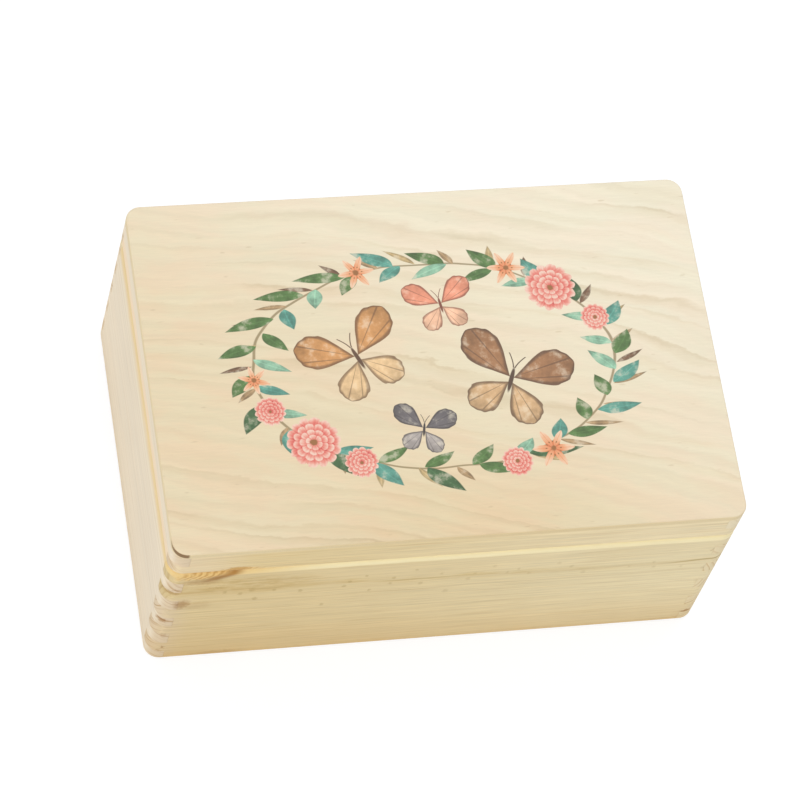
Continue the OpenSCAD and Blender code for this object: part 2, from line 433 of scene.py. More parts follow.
def seam_resin():
    """Resinous twist at the seam's front left corner: its body, strands and brown end, and the painted
    shadow in the crease under it.
    """
    g = Effect("seam resin")
    x, y, z = g.split(g.at)
    uneven = g.swing(g.at, scale=0.14)
    lumpy = g.swing(g.at, scale=0.42)
    middle = g.times_add(g.rise(x, -134.0, -110.0), 6.0, SEAM - 2.7)
    middle = g.times_add(uneven, 2.4, middle)
    half = g.rise(x, -132.0, -102.0, 4.5, 1.2)
    off = g.minus(z, middle)
    inner = g.times_add(lumpy, 12.0, g.times_add(x, -0.25, y))
    reach = g.times(g.fall(x, -112.0, -96.0), g.rise(inner, -58.0, -68.0))
    spread = g.times_add(lumpy, 0.5, g.over(g.size(off), half))
    warm = g.times(reach, g.fall(spread, 0.5, 1.15))
    twist = g.times_add(g.add(y, HALF_D), 0.9, g.times_add(x, 1.7, g.times(z, -2.0)))
    twist = g.times_add(lumpy, 7.0, twist)
    strand = g.times_add(g.math("SINE", twist), 0.5, 0.5)
    strand = g.most(strand, g.rise(x, -146.0, -140.0, 0.85, 0.0))
    # Painted shadow in the crease under the twist.
    below = g.size(g.add(g.add(off, half), 1.7))
    crease = g.times(g.rise(x, -140.0, -124.0), g.fall(x, -116.0, -108.0))
    crease = g.times(crease, g.fall(below, 0.4, 4.6))
    knot = g.length(g.vector(g.times(g.add(x, 114.0), 0.13), g.times(g.add(z, -SEAM - 4.0), 0.36)))
    knot = g.times(g.fall(g.times_add(lumpy, 1.2, knot), 0.3, 1.0), g.rise(y, -92.0, -97.0))
    g.give(Warm=warm, Strand=strand, Crease=g.times(crease, reach), Knot=knot)
    return g


# How far a mark at a front corner reaches round it.
MARK_REACH = 9.0
# Place, half width, half height and strength of each chip and stained spot at the front corners, and of
# one patch of painted shade.
CORNER_MARKS = (
    (-138.6, 69.8, 6.4, 7.0, 0.7),
    (-130.0, 67.5, 10.0, 6.5, 0.2),
    # Painted shade under the seam's twist at the left corner.
    (-131.5, 96.5, 15.0, 4.6, 0.45),
    (-122.5, 87.5, 8.0, 1.6, 0.2),
    (-112.0, 3.0, 20.0, 5.0, 0.3),
    (-146.8, 49.0, 4.6, 3.4, 0.8),
    (-141.5, 48.0, 4.0, 1.4, 0.2),
    (-143.5, 31.0, 2.6, 4.0, 0.28),
    (-142.5, 16.0, 1.6, 1.8, 0.7),
    (-143.8, 11.5, 2.6, 1.3, 0.4),
    (-143.0, 87.5, 4.0, 1.4, 0.35),
    (-146.5, 83.6, 7.5, 2.1, 0.55),
    (143.4, 12.0, 4.4, 2.0, 1.0),
    (143.5, 9.0, 9.0, 8.0, 0.14),
    (141.5, 68.8, 3.6, 4.6, 0.22),
    (141.3, 52.2, 3.6, 4.6, 0.16),
    (140.5, 91.1, 3.2, 1.6, 0.4),
)


def corner_marks():
    """Small chips and stained spots at the front upright corners, on the boards of both directions, and
    a patch of painted shade under the seam's twist.
    """
    g = Effect("corner marks")
    point = ragged(g, g.at, 0.45, 5.0)
    marks = 0.0
    for x, z, wide, high, strength in CORNER_MARKS:
        mark = spot(g, point, (x, -HALF_D, z), (wide, MARK_REACH, high))
        marks = g.most(marks, g.times(mark, strength))
    g.give(Mark=marks)
    return g


def ragged(g, point, scale, amount):
    """Points moved along the front face by noise, so that a round spot gets a torn outline."""
    sideways = g.swing(point, scale=scale)
    upwards = g.swing(g.shift(point, (9.0, 4.0, 7.0)), scale=scale)
    return g.shift(point, g.shade(g.vector(sideways, 0.0, upwards), amount))


RESIN_TWIST = seam_resin()
MARKS = corner_marks()


def warm(g, color, fibre, tint, amount):
    """Paints a warm highlight by a mask, less on the flat rims. The fibre stays in sight."""
    rim = g.rise(g.size(g.split(g.facing)[2]), 0.95, 0.995, 1.0, 0.45)
    tint = g.shade(tint, g.vary(fibre, 0.15, 1.0))
    return g.mix(g.times(rim, amount), color, tint)


def glow(g, color, fibre, tint, seam, base):
    """Painted warm highlight on the rounded edges at the seam, and browner wood towards the bottom
    edge.
    """
    edges = g.use(EDGES)
    color = warm(g, color, fibre, tint, g.times(edges["Seam"], seam))
    return g.mix(g.times(edges["Base"], base), color, BASE_BROWN)


def resin(g, color, height):
    """Adds the resinous twist at the seam, the painted shadow under it, and the marks at the corners.
    """
    twist = g.use(RESIN_TWIST)
    marks = g.use(MARKS)
    color = g.mix(twist["Warm"], color, g.mix(twist["Strand"], RESIN, RESIN_GOLD))
    color = g.mix(g.times(twist["Knot"], 0.9), color, RESIN)
    # Corner marks, and the painted shadow in the crease under the twist.
    stains_and_shade = g.most(twist["Crease"], marks["Mark"])
    color = g.mix(stains_and_shade, color, STAIN_AND_SHADE, "MULTIPLY")
    height = g.times_add(g.times(twist["Warm"], twist["Strand"]), 2.0, height)
    return color, g.times_add(marks["Mark"], -2.5, height)


def plain_board(name, along, heart, base=0.4, end_color=END_PINK, contrast=0.42):
    """Board or rail of the back and the right side."""
    g = Finish(name, Specular_IOR_Level=WOOD_GLOSS)
    wood = pine(g, along, heart, 3.4, 14.0, contrast, PALE, DARK, end_color, 0.75)
    # Painted highlight on the seam's rounded edges, and browner towards the bottom.
    color = glow(g, wood["Color"], wood["Fibre"], PALE_SEAM_HIGHLIGHT, 0.5, base)
    g.wear(color, wood["Roughness"], wood["Height"], PINE_RELIEF)
    return g.material


def left_side(name, heart, ring, wander, contrast, tint, low, high, base):
    """Left board or rail: cooler and paler, partly painted light on that side. Its warm band, a painted
    highlight of the seam, grows from low to high, towards the seam.
    """
    g = Finish(name, Specular_IOR_Level=WOOD_GLOSS)
    wood = pine(g, "y", heart, ring, wander, contrast, LEFT_PALE, LEFT_DARK, END_PINK, 0.6)
    x, _, z = g.split(g.at)
    # Painted warm highlight in a band along the seam.
    wavy = g.swing(g.stretch(g.at, (0.0, 0.05, 0.3)), detail=3.0, roughness=0.6)
    band = g.rise(g.times_add(wavy, 12.0, z), low, high)
    band = g.times(band, g.rise(x, -140.0, -146.0))
    color = warm(g, wood["Color"], wood["Fibre"], tint, g.times(band, 0.75))
    color = g.mix(g.times(g.use(EDGES)["Base"], base), color, BASE_BROWN)
    color, height = resin(g, color, wood["Height"])
    g.wear(color, wood["Roughness"], height, PINE_RELIEF)
    return g.material


# Height of the streak along the front board, both as a share: of the width and of the scale.
STREAK_SCALE = 100.0
FRONT_STREAK = (
    (0.0, 0.848),
    (0.045, 0.845),
    (0.155, 0.826),
    (0.220, 0.834),
    (0.345, 0.838),
    (0.414, 0.809),
    (0.530, 0.810),
    (0.677, 0.792),
    (0.810, 0.779),
    (0.900, 0.777),
    (0.945, 0.790),
    (1.0, 0.806),
)
# Depth that a speck reaches into the front board, and the place along, height and size of each.
SPECK_DEPTH = 4.0
FRONT_SPECKS = (
    (-117.5, 81.2, 1.5),
    (-109.3, 78.1, 1.6),
    (-103.6, 82.2, 2.4),
    (-100.8, 71.0, 1.8),
    (-91.7, 80.2, 1.5),
    (-77.6, 76.6, 1.8),
    (-63.7, 57.0, 1.6),
    (-55.0, 78.4, 1.4),
    (-52.6, 83.7, 1.3),
    (-44.6, 89.3, 1.2),
    (-40.6, 71.3, 1.2),
    (-30.4, 77.7, 1.4),
    (-29.6, 84.5, 1.5),
    (-18.8, 92.4, 1.2),
    (-13.9, 75.1, 1.8),
    (-4.4, 85.3, 1.4),
    (1.3, 62.9, 2.0),
    (11.1, 76.4, 1.8),
    (13.8, 82.2, 1.5),
    (22.9, 90.0, 1.5),
    (31.4, 80.7, 1.5),
    (36.8, 84.2, 1.2),
    (43.3, 78.1, 1.5),
    (57.7, 87.9, 1.5),
    (65.4, 82.6, 1.6),
    (73.3, 74.1, 1.8),
    (97.5, 77.1, 1.3),
    (110.3, 80.4, 1.4),
    (111.6, 74.7, 1.4),
    (126.7, 72.5, 1.3),
)


def front_streak(g, wood, x, y, z):
    """Knotty olive streak along the front board, crisp at its knots and right end, with specks."""
    line = g.times(g.path(g.times_add(x, 1 / (2 * HALF_W), 0.5), FRONT_STREAK), STREAK_SCALE)
    wobble = g.swing(g.stretch(g.at, (0.05, 0.0, 0.16)), detail=3.0, roughness=0.65)
    off = g.times_add(wobble, 7.0, g.minus(z, line))
    blotch = g.noise(g.stretch(g.at, (0.045, 0.0, 0.3)), detail=3.0, roughness=0.6)
    half = g.rise(x, -130.0, -60.0, 8.1, 4.6)
    wide = g.over(g.size(off), half)
    wide = g.times(g.fall(wide, 0.1, 1.0), g.rise(blotch, 0.36, 0.62, 0.3, 1.0))
    wide = g.times(wide, g.rise(x, 60.0, 100.0, 0.5, 0.28))
    color = g.mix(wide, wood, OLIVE, "MULTIPLY")
    core = g.fall(g.size(g.times_add(wobble, -5.4, off)), 0.2, 1.2)
    right = g.times(g.rise(x, 106.0, 134.0), 0.8)
    middle = g.times(g.rise(x, -38.0, -22.0), g.rise(x, 4.0, 40.0, 0.36, 0.08))
    left = g.times(g.rise(x, -107.0, -102.0), g.rise(x, -92.0, -76.0, 0.36, 0.0))
    core = g.times(core, g.most(right, g.most(middle, left)))
    point = ragged(g, g.at, 0.7, 2.8)
    specks = 0.0
    for at_x, at_z, size in FRONT_SPECKS:
        speck = spot(g, point, (at_x, -HALF_D, at_z), (size * 1.1, SPECK_DEPTH, size * 1.5))
        specks = g.most(specks, speck)
    specks = g.times(g.times(specks, g.rise(y, -97.0, -99.5)), g.rise(x, -60.0, 20.0, 0.42, 0.25))
    return g.mix(g.most(core, specks), color, STREAK, "MULTIPLY")


def front_wood(name, heart, ring, pale_left, pale_right, is_board):
    """Front board or rail: yellower on the left, paler on the right, with its seam edge lit."""
    g = Finish(name, Specular_IOR_Level=WOOD_GLOSS)
    x, y, z = g.split(g.at)
    pale = g.mix(g.rise(x, -150.0, 150.0), pale_left, pale_right)
    cloud = g.noise(g.stretch(g.at, (0.04, 0.04, 0.12)))
    uneven_x = g.vary(cloud, 16.0, x)
    if is_board:
        pink = g.times(g.rise(uneven_x, -148.0, -130.0, 0.6, 0.0), g.fall(z, 72.0, 80.0))
        pale = g.mix(pink, pale, END_PINK)
        end_color = g.mix(g.rise(z, 72.0, 76.0), END_PINK, END_YELLOW)
    else:
        pale = g.mix(g.rise(uneven_x, -140.0, -100.0, 0.9, 0.0), pale, RAIL_PINK)
        end_color = END_PINK
    end_color = g.mix(g.rise(x, -1.0, 1.0), end_color, pale_right)
    dark = g.mix(1.0, pale, LATE_WOOD, "MULTIPLY")
    wood = pine(g, "x", heart, ring, 8.0, 0.6, pale, dark, end_color)
    color = wood["Color"]
    if is_board:
        # Painted shade below the seam's twist, mottled.
        shade_below_twist = spot(g, g.at, (-108.0, -HALF_D, 90.0), (56.0, 40.0, 13.0))
        mottled = g.noise(g.stretch(g.at, (0.10, 0.0, 0.28)), detail=3.0, roughness=0.7)
        mottled = g.rise(mottled, 0.3, 0.7, 0.1, 0.75)
        color = g.mix(g.times(shade_below_twist, mottled), color, OLIVE, "MULTIPLY")
        color = front_streak(g, color, x, y, z)
    # Colours of the painted highlight on the seam's rounded edge, warmer towards the left.
    tint = g.mix(g.rise(x, -112.0, -62.0), WARM_SEAM_HIGHLIGHT, PALE_SEAM_HIGHLIGHT)
    color = glow(g, color, wood["Fibre"], tint, 0.9, 0.75 if is_board else 0.0)
    color, height = resin(g, color, wood["Height"])
    g.wear(color, wood["Roughness"], height, PINE_RELIEF)
    return g.material


# ---- Plywood ----


def peeled_veneer():
    """Peeled veneer with its grain along X: wavy bands, thin dark lines, flecks and soft clouds."""
    g = Effect("peeled veneer", "Spacing", "Wander", "Droop")
    x, y, _ = g.split(g.at)
    droop = g.math("POWER", g.most(g.add(x, 80.0), 0.0), 2.0)
    height = g.times_add(droop, g.given["Droop"], y)
    height = g.times_add(g.add(x, HALF_W), g.times_add(y, -0.0006, 0.17), height)
    sweep = g.swing(g.stretch(g.at, (0.006, 0.012, 0.0)), detail=1.0)
    wave = g.swing(g.stretch(g.at, (0.02, 0.05, 0.0)), roughness=0.6)
    jag = g.swing(g.stretch(g.at, (0.13, 0.22, 0.0)), roughness=0.7)
    height = g.times_add(sweep, g.given["Wander"], height)
    height = g.times_add(wave, g.times(g.given["Wander"], 0.32), height)
    height = g.times_add(jag, 3.2, height)
    years = g.over(height, g.given["Spacing"])
    years = g.times_add(g.ripple(years, 0.5), 1.8, years)
    season = g.math("FRACT", years)
    weight = g.chance(g.math("FLOOR", years))
    along = g.vector(x, height)
    patches = g.noise(g.stretch(along, (0.009, 0.07, 0.0)), detail=3.0, roughness=0.6)
    band = g.times(g.rise(season, 0.05, 0.65), g.fall(season, 0.72, 1.0))
    band = g.times(band, g.times(g.rise(patches, 0.34, 0.62), g.times_add(weight, 0.7, 0.3)))
    line = g.times(g.rise(season, 0.60, 0.83), g.fall(season, 0.85, 0.97))
    line = g.times(line, g.times(g.rise(patches, 0.42, 0.64), g.rise(weight, 0.2, 0.9)))
    streak = g.noise(g.stretch(along, (0.010, 0.24, 0.0)), detail=3.0, roughness=0.6)
    fleck = g.noise(g.shift(g.stretch(g.at, (0.11, 0.42, 0.0)), (9.0, 1.0, 0.0)), detail=1.0)
    fleck = g.rise(fleck, 0.70, 0.82)
    fibre = g.noise(g.stretch(g.at, (0.07, 1.1, 0.0)), detail=3.0, roughness=0.7)
    cloud = g.shift(g.stretch(along, (0.02, 0.06, 0.0)), (1.0, 6.0, 0.0))
    cloud = g.noise(cloud, detail=3.0, roughness=0.6)
    g.give(Band=band, Line=line, Streak=streak, Fleck=fleck, Fibre=fibre, Cloud=cloud)
    return g


def ply_edge():
    """Edge of a three-ply sheet between two heights: pale faces, a darker core and thin glue lines."""
    g = Effect("ply edge", "Low", "High")
    z = g.split(g.at)[2]
    above = g.minus(z, g.given["Low"])
    below = g.minus(g.given["High"], z)
    depth = g.math("MINIMUM", above, below)
    depth = g.times_add(g.noise(g.at, scale=0.08), 0.3, depth)
    core = g.rise(depth, 1.15, 1.35)
    glue = g.times(g.rise(depth, 1.1, 1.25), g.fall(depth, 1.25, 1.4))
    g.give(Core=core, Glue=glue)
    return g


VENEER = peeled_veneer()
PLY = ply_edge()
PLY_EDGE = rgb(235, 215, 171)
LID_FRONT_SHADE = (0.95, 0.89, 0.78)
SCORCH_AND_GAP_SHADE = (0.26, 0.16, 0.08)


def plywood(
    g, low, high, pale, tint, dark, spacing=10.0, wander=30.0, droop=0.0, start=(0, 0, 0), figure=1.0
):
    """Colour and relief of a plywood sheet. Figure is the strength of its bands and lines."""
    point = g.place(g.at, at=start)
    face = g.use(VENEER, Point=point, Spacing=spacing, Wander=wander, Droop=droop)
    color = g.mix(g.rise(face["Cloud"], 0.36, 0.66), pale, tint)
    color = g.mix(g.times(g.times(face["Band"], 0.29), figure), color, dark)
    color = g.mix(g.times(g.times(face["Line"], 0.36), figure), color, g.shade(dark, 0.85))
    color = g.mix(g.times(face["Fleck"], 0.3), color, g.shade(dark, 0.8))
    color = g.shade(color, g.vary(face["Streak"], 0.17, 1.0))
    color = g.shade(color, g.vary(face["Fibre"], 0.12, 1.0))
    layers = g.use(PLY, Low=low, High=high)
    side = g.fall(g.size(g.split(g.facing)[2]), 0.45, 0.8)
    pores = g.noise(g.stretch(g.at, (1.4, 1.4, 0.5)), roughness=0.7)
    core = g.shade(PLY_EDGE, g.vary(pores, 0.2, 0.95))
    edge = g.mix(layers["Core"], PLY_EDGE, core)
    edge = g.mix(g.times(layers["Glue"], 0.2), edge, dark)
    color = g.mix(side, color, edge)
    return color, g.times_add(g.times(pores, side), 0.8, face["Fibre"])


# ---- Painted decoration on the lid: a wreath of leaves and flowers round four butterflies ----


def painted_leaf():
    """Pointed leaf along +X from the origin, in millimetres."""
    g = Effect("painted leaf", "Length", "Width")
    x, y, _ = g.split(g.at)
    along = g.math("DIVIDE", x, g.given["Length"], clamp=True)
    bulge = g.math("SINE", g.times(g.math("POWER", along, 0.78), math.pi))
    inside = g.minus(g.times(bulge, g.times(g.given["Width"], 0.5)), g.size(y))
    mask = g.rise(inside, 0.0, 0.45)
    rim = g.fall(inside, 0.2, 1.2)
    vein = g.times(g.fall(g.size(y), 0.05, 0.4), g.fall(along, 0.75, 0.95))
    g.give(Mask=mask, Rim=rim, Vein=vein, Along=along)
    return g


# What the seed of a leaf's sway adds to the seed of its pick.
SWAY_SEED = 41.0


def leaf_ring(leaf):
    """Leaves set round a circle, each in its own sector, with a random pick from 0 to 1 for each."""
    g = Effect("leaf ring", "Radius", "Count", "Slant", "Length", "Width", "Seed")
    x, y, _ = g.split(g.at)
    turns = g.times(g.math("ARCTAN2", y, x), 0.5 / math.pi)
    cells = g.times(turns, g.given["Count"])
    cell = g.math("FLOOR", cells)
    pitch = g.over(g.times(g.given["Radius"], 2 * math.pi), g.given["Count"])
    along = g.times(g.math("FRACT", cells), pitch)
    out = g.minus(g.length(g.vector(x, y)), g.given["Radius"])
    pick = g.chance(cell, g.given["Seed"])
    sway = g.chance(cell, g.add(g.given["Seed"], SWAY_SEED))
    angle = g.vary(sway, 0.5, g.given["Slant"])
    cosine = g.math("COSINE", angle)
    sine = g.math("SINE", angle)
    u = g.times_add(along, cosine, g.times(out, sine))
    v = g.minus(g.times(out, cosine), g.times(along, sine))
    length = g.times(g.given["Length"], g.times_add(pick, 0.35, 0.8))
    shape = g.use(leaf, Point=g.vector(u, v), Length=length, Width=g.given["Width"])
    g.give(**{part.name: part for part in shape}, Pick=pick)
    return g


# Reach of each ring of a dahlia's petals, as a share of its radius, and the number of petals.
DAHLIA_RINGS = ((1.0, 14), (0.76, 12), (0.53, 9), (0.32, 6))


def painted_dahlia():
    """Round flower of four rings of petals, each ring lying on the one outside it."""
    g = Effect("painted dahlia", "Radius", "Turn", "Wash")
    x, y, _ = g.split(g.at)
    radius = g.over(g.length(g.at), g.given["Radius"])
    wash = g.add(g.given["Wash"], -0.5)
    angle = g.times_add(wash, 0.5, g.add(g.math("ARCTAN2", y, x), g.given["Turn"]))
    masks = []
    tone = 0.0
    for reach, petals in DAHLIA_RINGS:
        wave = g.size(g.math("COSINE", g.times(angle, petals / 2)))
        outline = g.times_add(g.math("POWER", wave, 0.6), 0.17 * reach, 0.83 * reach)
        outline = g.times_add(wash, 0.1, outline)
        depth = g.minus(outline, radius)
        masks.append(g.rise(g.times(depth, g.given["Radius"]), 0.0, 0.4))
        petal = g.times_add(g.rise(depth, 0.02, 0.26), 0.62, g.rise(wave, 0.0, 0.5, 0.42, 0.0))
        petal = g.times_add(g.math("SINE", g.times(angle, petals * 3.0)), 0.05, petal)
        tone = g.times_add(masks[-1], g.minus(petal, tone), tone)
    tone = g.times_add(wash, 1.1, g.add(tone, 0.05))
    heart = g.fall(g.times_add(wash, 0.3, radius), 0.09, 0.15)
    g.give(Mask=masks[0], Tone=tone, Heart=heart)
    return g


def painted_star_flower():
    """Open flower of six pointed petals, with a ring of stamens."""
    g = Effect("painted star flower", "Radius", "Turn", "Wash")
    x, y, _ = g.split(g.at)
    radius = g.over(g.length(g.at), g.given["Radius"])
    angle = g.add(g.math("ARCTAN2", y, x), g.given["Turn"])
    wash = g.add(g.given["Wash"], -0.5)
    wave = g.size(g.math("SINE", g.times(angle, 3.0)))
    outline = g.times_add(g.math("POWER", wave, 1.5), -0.62, 1.0)
    inside = g.times(g.minus(g.times_add(wash, 0.2, outline), radius), g.given["Radius"])
    crease = g.times_add(g.rise(wave, 0.7, 1.0), 0.3, g.rise(wave, 0.0, 0.14, 0.3, 0.0))
    tone = g.times_add(g.fall(radius, 0.15, 0.95), 0.55, crease)
    tone = g.times_add(wash, 0.9, tone)
    heart = g.fall(g.times_add(wash, 0.35, radius), 0.10, 0.18)
    stamens = g.fall(g.size(g.add(radius, -0.33)), 0.02, 0.06)
    stamens = g.times(stamens, g.rise(g.math("COSINE", g.times(angle, 12.0)), 0.3, 0.8))
    g.give(Mask=g.rise(inside, 0.0, 0.5), Tone=tone, Heart=g.most(heart, stamens))
    return g


# Span at which the butterfly is drawn, before it is scaled.
DRAWN_SPAN = 100.0


def painted_butterfly():
    """Butterfly with its head towards +Y. Span is the width of its wings."""
    g = Effect("painted butterfly", "Span", "Wash")
    unit = g.over(DRAWN_SPAN, g.given["Span"])
    x, y, _ = g.split(g.shade(g.at, unit))
    side = g.size(x)
    wash = g.times(g.add(g.given["Wash"], -0.5), 9.0)
    half = g.vector(side, y)

    def wing(at, turn, reach, breadth):
        local = g.place(g.shift(half, (-at[0], -at[1], 0)), turn=(0, 0, -turn))
        u, v, _ = g.split(local)
        along = g.math("DIVIDE", u, reach, clamp=True)
        bulge = g.math("SINE", g.times(g.math("POWER", along, 1.7), math.pi))
        rounded = g.math("POWER", g.most(bulge, 0.0), 0.62)
        angle = g.math("ARCTAN2", v, g.add(u, 6.0))
        rays = g.math("SINE", g.times(angle, 22.0))
        scallop = g.times_add(g.math("COSINE", g.times(angle, 46.0)), g.times(along, 0.7), breadth)
        inside = g.minus(g.times(rounded, scallop), g.size(v))
        return g.times_add(wash, g.times(rounded, 0.18), inside), along, rays

    upper, upper_along, upper_rays = wing((1.0, 3.0), 34.0, 56.0, 17.0)
    lower, lower_along, lower_rays = wing((1.0, -1.0), -50.0, 42.0, 14.5)
    inside = g.most(upper, lower)
    mask = g.rise(inside, 0.0, g.times(unit, 0.35))
    is_lower = g.rise(g.minus(lower, upper), 0.0, 0.5)
    is_upper = g.minus(1.0, is_lower)
    rays = g.most(g.times(upper_rays, is_upper), g.times(lower_rays, is_lower))
    rim = g.fall(inside, 1.2, 4.6)
    rim = g.most(rim, g.times(g.rise(rays, 0.9, 1.0), 0.75))
    upper_along = g.times(upper_along, g.rise(upper, -0.2, 0.0))
    lower_along = g.times(lower_along, g.rise(lower, -0.2, 0.0))
    along = g.most(upper_along, lower_along)
    spots = g.fall(g.size(g.add(along, -0.82)), 0.02, 0.05)
    spots = g.times(spots, g.rise(rays, -0.2, -0.7))
    body = g.length(g.vector(side, g.times(g.add(y, -1.0), 0.16)))
    body = g.fall(body, 1.5, 2.3)
    feeler_x = g.times_add(g.math("POWER", g.most(g.add(y, -12.0), 0.0), 1.5), 0.13, 0.6)
    feeler = g.fall(g.size(g.minus(side, feeler_x)), 0.25, 0.8)
    feeler = g.times(feeler, g.times(g.rise(y, 12.0, 13.0), g.fall(y, 25.0, 26.0)))
    g.give(Mask=mask, Rim=rim, Spots=spots, Body=g.most(body, feeler), Lower=is_lower, Tip=along)
    return g


LEAF = painted_leaf()
LEAF_RING = leaf_ring(LEAF)
DAHLIA = painted_dahlia()
STAR_FLOWER = painted_star_flower()
BUTTERFLY = painted_butterfly()

WREATH_RADIUS = 64.0
WREATH_STRETCH = (1.50, 0.92, 1.0)
WREATH_CENTRE = (0.0, -2.0)

GREEN = rgb(86, 124, 68)
TEAL = rgb(92, 160, 144)
MINT = rgb(150, 198, 168)
TAN = rgb(176, 146, 108)
BROWN = rgb(118, 88, 66)
FLOWER_HEART = rgb(158, 106, 62)
THIN_PAINT = rgb(244, 234, 210)
STEM = rgb(140, 120, 80)
WING_SPOT = rgb(240, 224, 196)

# Colours of the petals, from their pale tips to their folds.
CORAL_PETALS = (
    (0.0, rgb(250, 214, 196)),
    (0.35, rgb(243, 166, 150)),
    (0.7, rgb(232, 118, 108)),
    (1.0, rgb(196, 74, 76)),
)
PEACH_PETALS = (
    (0.0, rgb(250, 216, 186)),
    (0.4, rgb(244, 178, 134)),
    (0.75, rgb(236, 144, 96)),
    (1.0, rgb(206, 106, 70)),
)

# Seed, count, slant in degrees, length, width, turn in degrees and colours of each ring of leaves.
LEAF_RINGS = (
    (11.0, 30.0, 62.0, 14.0, 3.2, 5.0, (TAN, BROWN, TAN, rgb(196, 170, 122))),
    (23.0, 22.0, 42.0, 18.0, 7.0, 0.0, (GREEN, TEAL, GREEN, rgb(64, 104, 66))),
    (37.0, 24.0, -44.0, 15.5, 6.2, 9.0, (MINT, TEAL, GREEN, MINT)),
)
# Place, radius and turn of each flower.
DAHLIAS = (
    (-70.0, -40.0, 14.5, 0.4),
    (-90.0, -21.0, 8.5, 2.1),
    (-47.0, -53.0, 9.0, 4.0),
    (68.0, 41.0, 14.0, 1.3),
    (89.0, 22.0, 8.0, 3.1),
    (34.0, -58.0, 8.5, 5.2),
)
STAR_FLOWERS = (
    (-96.0, -3.0, 8.5, 0.3),
    (46.0, 54.0, 10.5, 1.1),
    (54.0, -52.0, 11.5, 0.0),
    (-34.0, 56.0, 10.0, 0.9),
)
# Place, turn, span and colours of each butterfly: upper wings, lower wings and rim.
BUTTERFLIES = (
    (-40.0, 6.0, 24.0, 58.0, rgb(205, 148, 92), rgb(230, 194, 146), rgb(96, 68, 50)),
    (38.0, -12.0, -22.0, 62.0, rgb(160, 114, 78), rgb(208, 170, 126), rgb(82, 60, 48)),
    (8.0, 34.0, 8.0, 38.0, rgb(232, 150, 120), rgb(242, 192, 158), rgb(128, 72, 58)),
    (-12.0, -37.0, -12.0, 34.0, rgb(104, 100, 104), rgb(168, 160, 156), rgb(58, 54, 58)),
)


def lay_leaves(g, under, at, wash, ring):
    """Adds one ring of leaves in watercolour."""
    seed, count, slant, length, width, turn, colors = ring
    point = g.place(at, turn=(0, 0, turn))
    layout = {"Radius": WREATH_RADIUS, "Count": count, "Slant": math.radians(slant)}
    leaves = g.use(LEAF_RING, Point=point, Length=length, Width=width, Seed=seed, **layout)
    stops = [(index / len(colors), color) for index, color in enumerate(colors)]
    paint = g.ramp(leaves["Pick"], stops, "CONSTANT")
    tone = g.times_add(leaves["Along"], -0.3, g.rise(wash, 0.32, 0.55, 0.75, 1.2))
    tone = g.times_add(leaves["Rim"], -0.12, tone)
    tone = g.times_add(leaves["Vein"], 0.25, tone)
    paint = g.mix(g.rise(wash, 0.5, 0.68, 0.0, 0.5), g.shade(paint, tone), THIN_PAINT)
    return g.mix(leaves["Mask"], under, paint)


def lay_flower(g, under, at, wash, flower, effect, stops):
    """Adds one flower in watercolour, in the colours of its petals."""
    x, y, radius, turn = flower
    point = g.shift(at, (-x, -y, 0))
    parts = g.use(effect, Point=point, Radius=radius, Turn=turn, Wash=wash)
    paint = g.ramp(parts["Tone"], stops)
    paint = g.mix(parts["Heart"], paint, FLOWER_HEART)
    return g.mix(parts["Mask"], under, paint)


def lay_butterfly(g, under, at, wash, butterfly):
    """Adds one butterfly in watercolour, with its body and feelers."""
    x, y, turn, span, upper, lower, rim = butterfly
    point = g.place(g.shift(at, (-x, -y, 0)), turn=(0, 0, -turn))
    parts = g.use(BUTTERFLY, Point=point, Span=span, Wash=wash)
    tone = g.times_add(g.rise(parts["Tip"], 0.45, 1.0), -0.3, g.times_add(wash, 1.5, 0.42))
    paint = g.shade(g.mix(parts["Lower"], upper, lower), tone)
    paint = g.mix(g.rise(wash, 0.5, 0.7, 0.0, 0.45), paint, THIN_PAINT)
    paint = g.mix(g.times(parts["Rim"], 0.75), paint, rim)
    paint = g.mix(parts["Spots"], paint, WING_SPOT)
    under = g.mix(parts["Mask"], under, paint)
    return g.mix(parts["Body"], under, rim)


def decoration(g, wood):
    """Watercolour print over the wood of the lid's top face."""
    x, y, _ = g.split(g.at)
    at = g.shift(g.vector(x, y), (-WREATH_CENTRE[0], -WREATH_CENTRE[1], 0))
    wash = g.noise(at, scale=0.13, detail=5.0, roughness=0.62)
    loop = g.stretch(at, tuple(1 / part for part in WREATH_STRETCH))
    sway = g.vary(g.noise(at, scale=0.03, detail=1.0), 6.0, -WREATH_RADIUS)
    stem = g.fall(g.size(g.add(g.length(loop), sway)), 0.25, 0.75)
    paint = g.mix(g.times(stem, 0.8), wood, STEM)
    for ring in LEAF_RINGS:
        paint = lay_leaves(g, paint, loop, wash, ring)
    for flower in STAR_FLOWERS:
        paint = lay_flower(g, paint, at, wash, flower, STAR_FLOWER, PEACH_PETALS)
    for flower in DAHLIAS:
        paint = lay_flower(g, paint, at, wash, flower, DAHLIA, CORAL_PETALS)
    for butterfly in BUTTERFLIES:
        paint = lay_butterfly(g, paint, at, wash, butterfly)
    up = g.split(g.facing)[2]
    return g.mix(g.times(g.rise(up, 0.6, 0.9), 0.96), wood, paint)


